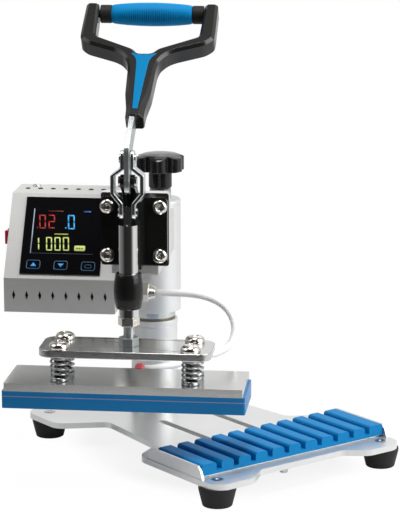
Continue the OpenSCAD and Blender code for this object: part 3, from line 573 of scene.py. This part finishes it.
def repeatPiece(name, build, places, turn, look, body, stands):
    template = addObject(name + "Model", meshFrom(name + "Model", build))
    tree, size = startTree(name + "Set", {"Turn": (0, 0, 0), "Size": 1.0})
    source = growNode(tree, "GeometryNodeObjectInfo", None, {"Object": template})
    points = growNode(tree, "GeometryNodeMeshToPoints", None, {"Mesh": size["Geometry"]})
    copies = growNode(tree, "GeometryNodeInstanceOnPoints", None, {
        "Points": points[0], "Instance": source["Geometry"], "Rotation": size["Turn"], "Scale": size["Size"]})
    endTree(tree, copies[0], finish[look])
    growPiece(name, tree, places, {"Turn": turn, "Size": mm}, body, stands)
    bpy.data.objects.remove(template)


def setBolts(name, places, turn, look, body, stands):
    repeatPiece(name, lambda shape: boltShape(shape, boltKinds[name]), places, turn, look, body, stands)


boltTop = 108.55
boltPlaces = [headSpot(x, y - head["reach"], boltTop) for x, y in spring["places"]]
setBolts("platenBolts", boltPlaces, (0, 0, swing), "nickel", "platen", ["platen_bolts"])
flange = {"front": -124.0, "middle": 189.0, "across": 19.6, "upright": 18.4, "shift": 1.3}
flangePlaces = [headSpot(flange["shift"] + sx * flange["across"], flange["front"],
                         flange["middle"] + sz * flange["upright"]) for sx in (-1, 1) for sz in (-1, 1)]
setBolts("clampBolts", flangePlaces, (math.pi / 2, 0, swing), "nickel", "head", ["clamp_bolts"])
feet = {"across": 79.3, "back": 34.6, "front": -186.5, "plateTop": 19.5}
footPlaces = [Vector((sx * feet["across"], y, feet["plateTop"])) * mm
              for sx in (-1, 1) for y in (feet["back"], feet["front"])]
setBolts("footScrews", footPlaces, (0, 0, 0), "springSteel", "base", ["foot_screws"])
boxSize = {"left": -109.2, "right": -21.8, "front": -68.0, "back": 13.7, "floor": 110.9, "top": 197.6,
           "fold": 137.9, "topDepth": 39.0, "screwInset": 6, "topScrewAside": 14, "topScrewBack": 9}
coverPlaces = [headSpot(x, boxSize["back"], z)
               for x in (boxSize["left"] + boxSize["screwInset"], boxSize["right"] - boxSize["screwInset"])
               for z in (boxSize["floor"] + boxSize["screwInset"], boxSize["top"] - boxSize["screwInset"])]
setBolts("coverScrews", coverPlaces, (-math.pi / 2, 0, swing), "zinc", "head", ["box_screws"])
topPlace = headSpot(boxSize["left"] + boxSize["topScrewAside"], boxSize["back"] - boxSize["topScrewBack"],
                    boxSize["top"])
setBolts("topScrew", [topPlace], (0, 0, 0), "zinc", "head", ())
print("bolts set")


# the vent holes in the top of the box get black cups with a low lip: painted shade that makes the holes read
# dark
vents = {"count": 7, "pitch": 10.2, "shift": -4.4, "radius": 1.52, "depth": 1.2, "lip": 2.0, "proud": 0.6,
         "seat": 0.03, "edge": 0.25, "crown": 0.7, "dip": 0.8, "sides": 20}
ventProfile = [(0, -vents["depth"]), (vents["radius"], -vents["depth"]), (vents["radius"], vents["seat"]),
               (vents["lip"], vents["seat"]), (vents["lip"], vents["edge"]),
               (vents["lip"] * vents["crown"], vents["proud"]), (0, vents["proud"] * vents["dip"])]
ventMiddle = (boxSize["left"] + boxSize["right"]) / 2 + vents["shift"]
ventPlaces = [headSpot(ventMiddle + (k - (vents["count"] - 1) / 2) * vents["pitch"],
                       boxSize["back"] - boxSize["topDepth"] / 2, boxSize["top"])
              for k in range(vents["count"])]
repeatPiece("ventLiners", lambda shape: spinProfile(shape, ventProfile, vents["sides"]), ventPlaces,
            (0, 0, 0), "blackRubberAndShade", "head", ())

# a dark plate behind the vents in the front of the box: painted shade for the dark inside of the box
shadeSheet = {"margin": 3.5, "low": 6.5, "high": 20.5, "wall": 1.5, "gap": 0.1, "thick": 0.4}
shadeSheetOutline = rectangle(boxSize["left"] + shadeSheet["margin"], shadeSheet["low"],
                         boxSize["right"] - shadeSheet["margin"], shadeSheet["high"])
shadeSheetPlace = (onHead(0, boxSize["front"] + shadeSheet["wall"] + shadeSheet["gap"], boxSize["floor"])
              @ Matrix.Rotation(math.pi / 2, 4, "X"))
shadeSheetMesh = meshFrom("ventGauze", lambda shape: slab(shape, shadeSheetOutline, -shadeSheet["thick"], 0), shadeSheetPlace)
keepMesh("ventGauze", shadeSheetMesh, "blackRubberAndShade", "head", ())
print("vents lined")


# handle: one moulded fork, its front edges cut back most at the lower end
fork = {"front": 8.0, "thick": 14.6, "round": 3.2, "backCut": 1.4, "cut": 2.2, "endCut": 4.0, "end": 32.2,
        "square": 0.9, "cutTop": 84.0, "edge": 0.5, "edgeSegments": 2, "edgeAngle": 30,
        "half": [(5.4, 32.2), (6.9, 32.2), (6.95, 33.6), (7.2, 42), (9.6, 57), (10.8, 86), (12.4, 93.6),
                 (17.5, 100.4), (23, 104), (45.25, 112.6), (51.25, 118.6), (51.65, 126), (51.25, 160.5),
                 (41.25, 160.5), (39.75, 122), (9.2, 107.2), (5.5, 101.9)]}


def forkShape(shape):
    outline = roundCorners(bothSides(fork["half"]), fork["round"])
    front = fork["front"]
    back = front - fork["thick"]
    rows = [[], [], [], []]
    for i, spot in enumerate(outline):
        along = outline[(i + 1) % len(outline)] - outline[i - 1]
        inward = Vector((-along.y, along.x)).normalized()
        if spot.y < fork["end"] + fork["square"]:  # the lower end is cut square
            inward = Vector((-math.copysign(1, spot.x), 0))
        low = min(max((fork["cutTop"] - spot.y) / (fork["cutTop"] - fork["end"]), 0), 1)
        cut = fork["cut"] + (fork["endCut"] - fork["cut"]) * low
        levels = ((back, fork["backCut"]), (back + fork["backCut"], 0), (front - cut, 0), (front, cut))
        for row, (height, inset) in zip(rows, levels):
            row.append(shape.verts.new((*(spot + inward * inset), height)))
    shape.faces.new(rows[0][::-1])
    shape.faces.new(rows[-1])
    for lower, upper in zip(rows, rows[1:]):
        wrapRows(shape, lower, upper)


forkMesh = meshFrom("handleFrame", forkShape, onHandle())
handleFrame = keepMesh("handleFrame", forkMesh, "blackPlastic", "handle", ["handle_frame"])
addBevel(handleFrame, fork["edge"], fork["edgeSegments"], fork["edgeAngle"])
inlay = {"sunk": 1.0, "proud": 0.4, "round": 0.8, "edge": 0.35, "edgeAngle": 40,
         "half": [(1.9, 38), (4.4, 86), (5, 92), (6.5, 95.6), (9.5, 99.4), (9.1, 100.6), (5, 98.8)]}


def inlayShape(shape):
    outline = roundCorners(bothSides(inlay["half"]), inlay["round"])
    slab(shape, outline, fork["front"] - inlay["sunk"], fork["front"] + inlay["proud"])


inlayMesh = meshFrom("handleInlay", inlayShape, onHandle())
handleInlay = keepMesh("handleInlay", inlayMesh, "bluePlastic", "handle", ["handle_insert"])
addBevel(handleInlay, inlay["edge"], angle=inlay["edgeAngle"])

# grip: a barrel with an oval pad of fine grooves facing the user, as rings in a painted-shade dark blue
grip = {"along": 155.0, "length": 63.0, "middle": 9.1, "ends": 7.0, "bulge": 0.8, "steps": 14, "sides": 56,
        "endCut": 0.8, "endEase": 0.1, "endStep": 0.5, "ribs": 31, "ribSpan": 51.0, "ribWire": 0.34,
        "ribWireSides": 8, "ribShift": 0.9, "ribSunk": 0.12, "ribEnds": 0.1, "padTurn": 58.0}
gripHalf = grip["length"] / 2


def gripRadius(u):
    return grip["ends"] + (grip["middle"] - grip["ends"]) * (1 - (u / gripHalf) ** 2) ** grip["bulge"]


gripPlace = onHandle() @ Matrix.Translation((0, grip["along"], 0)) @ Matrix.Rotation(math.pi / 2, 4, "Y")
gripEnd = [(grip["ends"] - grip["endEase"], gripHalf - grip["endStep"]),
           (grip["ends"] - grip["endCut"], gripHalf), (0, gripHalf)]
gripSteps = [gripHalf * k / grip["steps"] for k in range(1 - grip["steps"], grip["steps"])]
gripProfile = [(r, -u) for r, u in reversed(gripEnd)] + [(gripRadius(u), u) for u in gripSteps] + gripEnd
gripMesh = meshFrom("gripSleeve", lambda shape: spinProfile(shape, gripProfile, grip["sides"]), gripPlace)
keepMesh("gripSleeve", gripMesh, "gripBlue", "handle", ["grip_sleeve"])


def ribTree():
    tree, size = startTree("gripRibs", {"Ribs": 31, "Span": 0.05, "Middle": 0.009, "Fall": 0.1,
                                        "Wire": 0.0005, "Shift": (0, 0, 0)})

    def combine(operation, first, second, kind="ShaderNodeMath"):
        return growNode(tree, kind, {"operation": operation}, {0: first, 1: second})[0]

    half = combine("MULTIPLY", size["Span"], -0.5)
    reach = growNode(tree, "ShaderNodeCombineXYZ", None, {"Z": half})[0]
    start = combine("ADD", size["Shift"], reach, "ShaderNodeVectorMath")
    end = combine("SUBTRACT", size["Shift"], reach, "ShaderNodeVectorMath")
    line = growNode(tree, "GeometryNodeCurvePrimitiveLine", None, {"Start": start, "End": end})
    spots = growNode(tree, "GeometryNodeCurveToPoints", None, {"Curve": line[0], "Count": size["Ribs"]})
    ring = growNode(tree, "GeometryNodeCurvePrimitiveCircle", None, {
        "Resolution": grip["sides"], "Radius": size["Middle"]})
    wire = growNode(tree, "GeometryNodeCurvePrimitiveCircle", None, {
        "Resolution": grip["ribWireSides"], "Radius": size["Wire"]})
    rib = growNode(tree, "GeometryNodeCurveToMesh", None, {"Curve": ring[0], "Profile Curve": wire[0]})
    place = growNode(tree, "GeometryNodeInputPosition")
    height = growNode(tree, "ShaderNodeSeparateXYZ", None, {0: place[0]})
    share = combine("DIVIDE", height["Z"], half)
    drop = combine("MULTIPLY", combine("MULTIPLY", share, share), size["Fall"])
    width = combine("SUBTRACT", 1.0, drop)
    girth = growNode(tree, "ShaderNodeCombineXYZ", None, {"X": width, "Y": width, "Z": 1.0})
    ribs = growNode(tree, "GeometryNodeInstanceOnPoints", None, {
        "Points": spots[0], "Instance": rib[0], "Scale": girth[0]})
    # the rings get the dark blue of the painted groove shade
    return endTree(tree, ribs[0], finish["grooveShadeBlue"])


padTurn = math.radians(grip["padTurn"])
padShift = (-math.cos(padTurn) * grip["ribShift"] * mm, -math.sin(padTurn) * grip["ribShift"] * mm, 0)
ribMiddle = gripRadius(0) - grip["ribShift"] - grip["ribSunk"]
ribEnd = gripRadius(grip["ribSpan"] / 2) - grip["ribShift"] - grip["ribSunk"] - grip["ribEnds"]
ribSizes = {"Ribs": grip["ribs"], "Span": grip["ribSpan"] * mm, "Middle": ribMiddle * mm,
            "Fall": 1 - ribEnd / ribMiddle, "Wire": grip["ribWire"] * mm, "Shift": padShift}
gripRibs = growPiece("gripRibs", ribTree(), [(0, 0, 0)], ribSizes, "handle", ())
gripRibs.data.transform(gripPlace @ Matrix.Scale(1 / mm, 4))
print("handle built")


# display: figures and keys on the black panel, as thin coloured film
display = {"left": -97.2, "slopeStart": 3.7, "thick": 1.2, "gap": 0.12, "film": 0.05, "sunk": 0.03,
           "slant": 0.1, "notch": 0.42, "leastRound": 0.2, "glowRough": 0.25}
slopeRise = boxSize["top"] - boxSize["fold"]
slopeRun = boxSize["back"] - boxSize["topDepth"] - boxSize["front"]
slopePlace = (onHead(display["left"], boxSize["front"], boxSize["fold"])
              @ Matrix.Rotation(math.atan2(slopeRise, slopeRun), 4, "X")
              @ Matrix.Translation((0, display["slopeStart"], display["thick"] + display["gap"])))


def makeGlow(name, colour, strength):
    paint = Paint(bpy.data.materials.new(name))
    shader = paint.add("ShaderNodeBsdfPrincipled", {}, {
        "Base Color": tone(colour), "Roughness": display["glowRough"], "Emission Color": tone(colour),
        "Emission Strength": strength})
    paint.add("ShaderNodeOutputMaterial", {}, {"Surface": shader["BSDF"]})
    return paint.owner


glowTones = {
    "redDigits": ((0.32, 0.016, 0.010), 0.4), "blueDigits": ((0.03, 0.30, 0.60), 0.6),
    "limeDigits": ((0.46, 0.54, 0.15), 0.62), "paleLines": ((0.26, 0.30, 0.38), 0.45),
    "dimLines": ((0.05, 0.06, 0.09), 0.4), "keyFrames": ((0.014, 0.045, 0.085), 0.6),
    "keySigns": ((0.025, 0.24, 0.56), 0.6), "redDash": ((0.09, 0.008, 0.006), 0.4),
    "blueDash": ((0.02, 0.09, 0.26), 0.5), "limeDash": ((0.24, 0.28, 0.05), 0.6),
    "pillInk": ((0.02, 0.02, 0.01), 0.0),
}
glow = {name: makeGlow(name, colour, strength) for name, (colour, strength) in glowTones.items()}
segmentMap = {"0": "abcdef", "1": "bc", "2": "abged"}


def film(shape, outline, lift=0.0):
    slab(shape, outline, lift - display["sunk"], lift + display["film"])


def digit(shape, mark, x, y, w, h, t):
    g = t * display["notch"]
    middle = y + h / 2
    spans = {"a": (x + g, y + h - t, x + w - g, y + h), "d": (x + g, y, x + w - g, y + t),
             "g": (x + g, middle - t / 2, x + w - g, middle + t / 2),
             "f": (x, middle + g, x + t, y + h - g), "b": (x + w - t, middle + g, x + w, y + h - g),
             "e": (x, y + g, x + t, middle - g), "c": (x + w - t, y + g, x + w, middle - g)}
    for name in segmentMap[mark]:
        film(shape, [(u - (v - middle) * display["slant"], v) for u, v in rectangle(*spans[name])])


def roundFrame(shape, x0, y0, x1, y1, t, radius):  # a thin line round a rounded field
    rows = []
    low = -display["sunk"]
    high = display["film"]
    for inset, z in ((0, low), (0, high), (t, high), (t, low)):
        corners = rectangle(x0 + inset, y0 + inset, x1 - inset, y1 - inset)
        ring = roundCorners(corners, max(radius - inset, display["leastRound"]))
        rows.append([shape.verts.new((p[0], p[1], z)) for p in ring])
    for near, far in zip(rows, rows[1:] + rows[:1]):
        wrapRows(shape, near, far)


keys = {"left": 4.9, "pitch": 21.65, "width": 11.2, "height": 7.8, "low": 3.9, "drop": 0.3, "line": 0.75,
        "round": 2.2, "loop": (2.9, 2.2, 8.3, 5.4), "loopLine": 0.5, "loopRound": 1.4,
        "signHalf": 2.4, "signFoot": 1.5, "signTip": 1.7}
keyPlaces = [(keys["left"] + keys["pitch"] * k, keys["low"] - keys["drop"] * k) for k in range(3)]
keyRows = [(x, y, x + keys["width"], y + keys["height"], keys["line"], keys["round"]) for x, y in keyPlaces]
loopX, loopY = keyPlaces[2]
loopRow = (loopX + keys["loop"][0], loopY + keys["loop"][1], loopX + keys["loop"][2],
           loopY + keys["loop"][3], keys["loopLine"], keys["loopRound"])


def keySign(place, way):
    x = place[0] + keys["width"] / 2
    y = place[1] + keys["height"] / 2
    foot = y - way * keys["signFoot"]
    return [(x - keys["signHalf"], foot), (x + keys["signHalf"], foot), (x, y + way * keys["signTip"])]


# each row: its glow, then digits (mark, x, y, width, height, line), bars, filled fields and frames
panel = {
    "redDash": {"glow": "redDash", "bars": [(18.2, 53.4, 30.4, 54.1)]},
    "blueDash": {"glow": "blueDash", "bars": [(46.6, 53.2, 52.2, 54.3)]},
    "limeDash": {"glow": "limeDash", "bars": [(24.9, 33.5, 35.8, 34.5)]},
    "redFigures": {"glow": "redDigits", "bars": [(10.5, 38.9, 11.2, 39.6)],
                   "digits": [("0", 11.8, 38.5, 5.3, 11.9, 1.0), ("2", 19.1, 38.7, 5.3, 11.8, 1.0)]},
    "blueFigures": {"glow": "blueDigits", "digits": [("0", 34.6, 38.3, 5.5, 12.4, 1.1)],
                    "bars": [(32.9, 38.9, 33.9, 40.0)]},
    "limeFigures": {"glow": "limeDigits", "fields": [roundCorners(rectangle(41.6, 20.0, 50.2, 24.5), 1.2)],
                    "digits": [("1", 11.0, 20.2, 2.6, 10.6, 1.0), ("0", 19.0, 19.8, 4.8, 11.5, 0.95),
                               ("0", 25.7, 19.9, 4.8, 11.5, 0.95), ("0", 32.4, 20.0, 4.8, 11.5, 0.95)]},
    "pillInk": {"glow": "pillInk", "lift": 0.06,
                "bars": [(43.4, 21.7, 44.5, 22.8), (45.3, 21.7, 46.4, 22.8), (47.2, 21.7, 48.3, 22.8)]},
    "paleLines": {"glow": "paleLines", "bars": [(6.9, 17.3, 7.7, 55.6)]},
    "dimLines": {"glow": "dimLines", "bars": [(7.7, 17.3, 56.7, 17.6)]},
    "keyFrames": {"glow": "keyFrames", "frames": [*keyRows, loopRow]},
    "keySigns": {"glow": "keySigns", "fields": [keySign(keyPlaces[0], 1), keySign(keyPlaces[1], -1)]},
}


def panelShape(shape, row):
    for figure in row.get("digits", ()):
        digit(shape, *figure)
    for span in row.get("bars", ()):
        film(shape, rectangle(*span), row.get("lift", 0.0))
    for field in row.get("fields", ()):
        film(shape, field)
    for border in row.get("frames", ()):
        roundFrame(shape, *border)


for name, row in panel.items():
    filmMesh = meshFrom(name, lambda shape: panelShape(shape, row), slopePlace)
    keepMesh(name, filmMesh, glow[row["glow"]], "head", ())
print("display drawn")


# a thin tape shows in the joint between the two blue sheets of the platen
seam = {"width": 180.0, "depth": 52.6, "round": 1.5, "middle": 73.9, "thick": 0.5, "proud": 0.06}


def seamBand(shape):
    x = seam["width"] / 2 + seam["proud"]
    y = seam["depth"] / 2 + seam["proud"]
    slab(shape, roundCorners(rectangle(-x, -y, x, y), seam["round"]), -seam["thick"] / 2, seam["thick"] / 2)


seamMesh = meshFrom("platenSeam", seamBand, onHead(0, -head["reach"], seam["middle"]))
keepMesh("platenSeam", seamMesh, "seamTape", "platen", ())


# studio: a white table, a room that is dark behind the camera and pale at its sides, four soft lamps
studio = {"table": 0.50, "tableLow": -0.004, "tableTop": -0.0004, "tableSides": 96, "plain": 0.7,
          "mirrorShare": 0.12, "fadeFrom": 0.9, "fadeTo": 1.25, "under": 0.14, "around": 0.01,
          "footing": (0.0, -0.076, 0.0), "footingSize": (0.085, 0.12, 1.0), "aim": (-0.03, -0.08, 0.14),
          "ceiling": 0.22, "ceilingLean": 0.35, "ceilingFrom": 0.76, "ceilingTo": 0.95,
          "walls": [(0.0, 0.95), (0.045, 0.90), (0.09, 0.50), (0.15, 0.30), (0.22, 0.20), (0.30, 0.14),
                    (0.36, 0.04), (0.40, 0.02), (0.585, 0.03), (0.615, 0.10), (0.645, 0.35), (0.69, 0.85),
                    (0.78, 0.80), (0.88, 0.65), (0.95, 0.75), (1.0, 0.95)]}
toCamera = -Vector(photoCamera["forward"]).xy.normalized()
toRight = Vector((-toCamera.y, toCamera.x))


def makeTable():
    paint = Paint(bpy.data.materials.new("paleTable"))
    plain = paint.add("ShaderNodeBsdfDiffuse", {}, {"Color": tone((1, 1, 1), studio["plain"])})["BSDF"]
    lit = paint.add("ShaderNodeEmission", {}, {"Color": (1, 1, 1, 1), "Strength": 1.0})["Emission"]
    place = paint.add("ShaderNodeTexCoord")["Object"]
    footing = paint.add("ShaderNodeMapping", {"vector_type": "TEXTURE"}, {
        "Vector": place, "Location": studio["footing"], "Scale": studio["footingSize"]})["Vector"]
    far = paint.add("ShaderNodeVectorMath", {"operation": "LENGTH"}, {0: footing})["Value"]
    faded = paint.add("ShaderNodeMapRange", {"interpolation_type": "SMOOTHSTEP"}, {
        "Value": far, "From Min": studio["fadeFrom"], "From Max": studio["fadeTo"],
        "To Min": studio["under"], "To Max": studio["around"]})["Result"]
    ray = paint.add("ShaderNodeLightPath")
    mirrored = ray["Is Glossy Ray"] + ray["Is Transmission Ray"]
    share = (ray["Is Camera Ray"] + mirrored * studio["mirrorShare"]) * (1 - faded)
    mixed = paint.add("ShaderNodeMixShader", {}, {0: share, 1: plain, 2: lit})["Shader"]
    paint.add("ShaderNodeOutputMaterial", {}, {"Surface": mixed})
    r = studio["table"]
    low = studio["tableLow"]
    top = studio["tableTop"]
    disc = [(0, low), (r, low), (r, top), (0, top)]
    mesh = meshFrom("paleTable", lambda shape: spinProfile(shape, disc, studio["tableSides"]))
    keepMesh("paleTable", mesh, paint.owner, None)


def makeRoom():
    world = bpy.data.worlds.new("studio")
    scene.world = world
    paint = Paint(world)
    look = paint.add("ShaderNodeTexCoord")["Generated"]
    part = paint.add("ShaderNodeSeparateXYZ", {}, {"Vector": look})
    ahead = part["X"] * toCamera.x + part["Y"] * toCamera.y
    aside = part["X"] * toRight.x + part["Y"] * toRight.y
    turn = ahead.sum("ARCTAN2", aside, ahead) * (0.5 / math.pi) + 0.5
    walls = paint.add("ShaderNodeValToRGB", {"stops": studio["walls"]}, {"Fac": turn})["Color"]
    high = part["Z"] - ahead * studio["ceilingLean"]
    above = paint.add("ShaderNodeMapRange", {"interpolation_type": "SMOOTHSTEP"}, {
        "Value": high, "From Min": studio["ceilingFrom"], "From Max": studio["ceilingTo"]})["Result"]
    room = paint.blendColours(above, walls, tone((1, 1, 1), studio["ceiling"]))
    direct = paint.add("ShaderNodeLightPath")["Is Camera Ray"]
    shown = paint.blendColours(direct, room, tone((1, 1, 1)))
    back = paint.add("ShaderNodeBackground", {}, {"Color": shown, "Strength": 1.0})
    paint.add("ShaderNodeOutputWorld", {}, {"Surface": back["Background"]})


# turn 0 is at the camera, positive to its right
lamps = {
    "leftLamp": {"turn": -74, "reach": 1.6, "height": 1.5, "size": 1.5, "power": 12},
    "rightLamp": {"turn": 64, "reach": 1.7, "height": 0.95, "size": 1.5, "power": 29},
    "topLamp": {"turn": 0, "reach": 0.32, "height": 2.0, "size": 0.6, "power": 19},
    "backLamp": {"turn": 160, "reach": 1.2, "height": 1.5, "size": 1.2, "power": 4},
}


def addLamp(name, row):
    data = bpy.data.lights.new(name, "AREA")
    data.shape = "RECTANGLE"
    data.size = row["size"]
    data.size_y = row["size"]
    data.energy = row["power"]
    light = addObject(name, data)
    angle = math.radians(row["turn"])
    spot = (toCamera * math.cos(angle) + toRight * math.sin(angle)) * row["reach"]
    light.location = (spot.x, spot.y, row["height"])
    lookAlong(light, Vector(studio["aim"]) - light.location)
    light.visible_camera = False


makeTable()
makeRoom()
for name, row in lamps.items():
    addLamp(name, row)
print("studio lit")
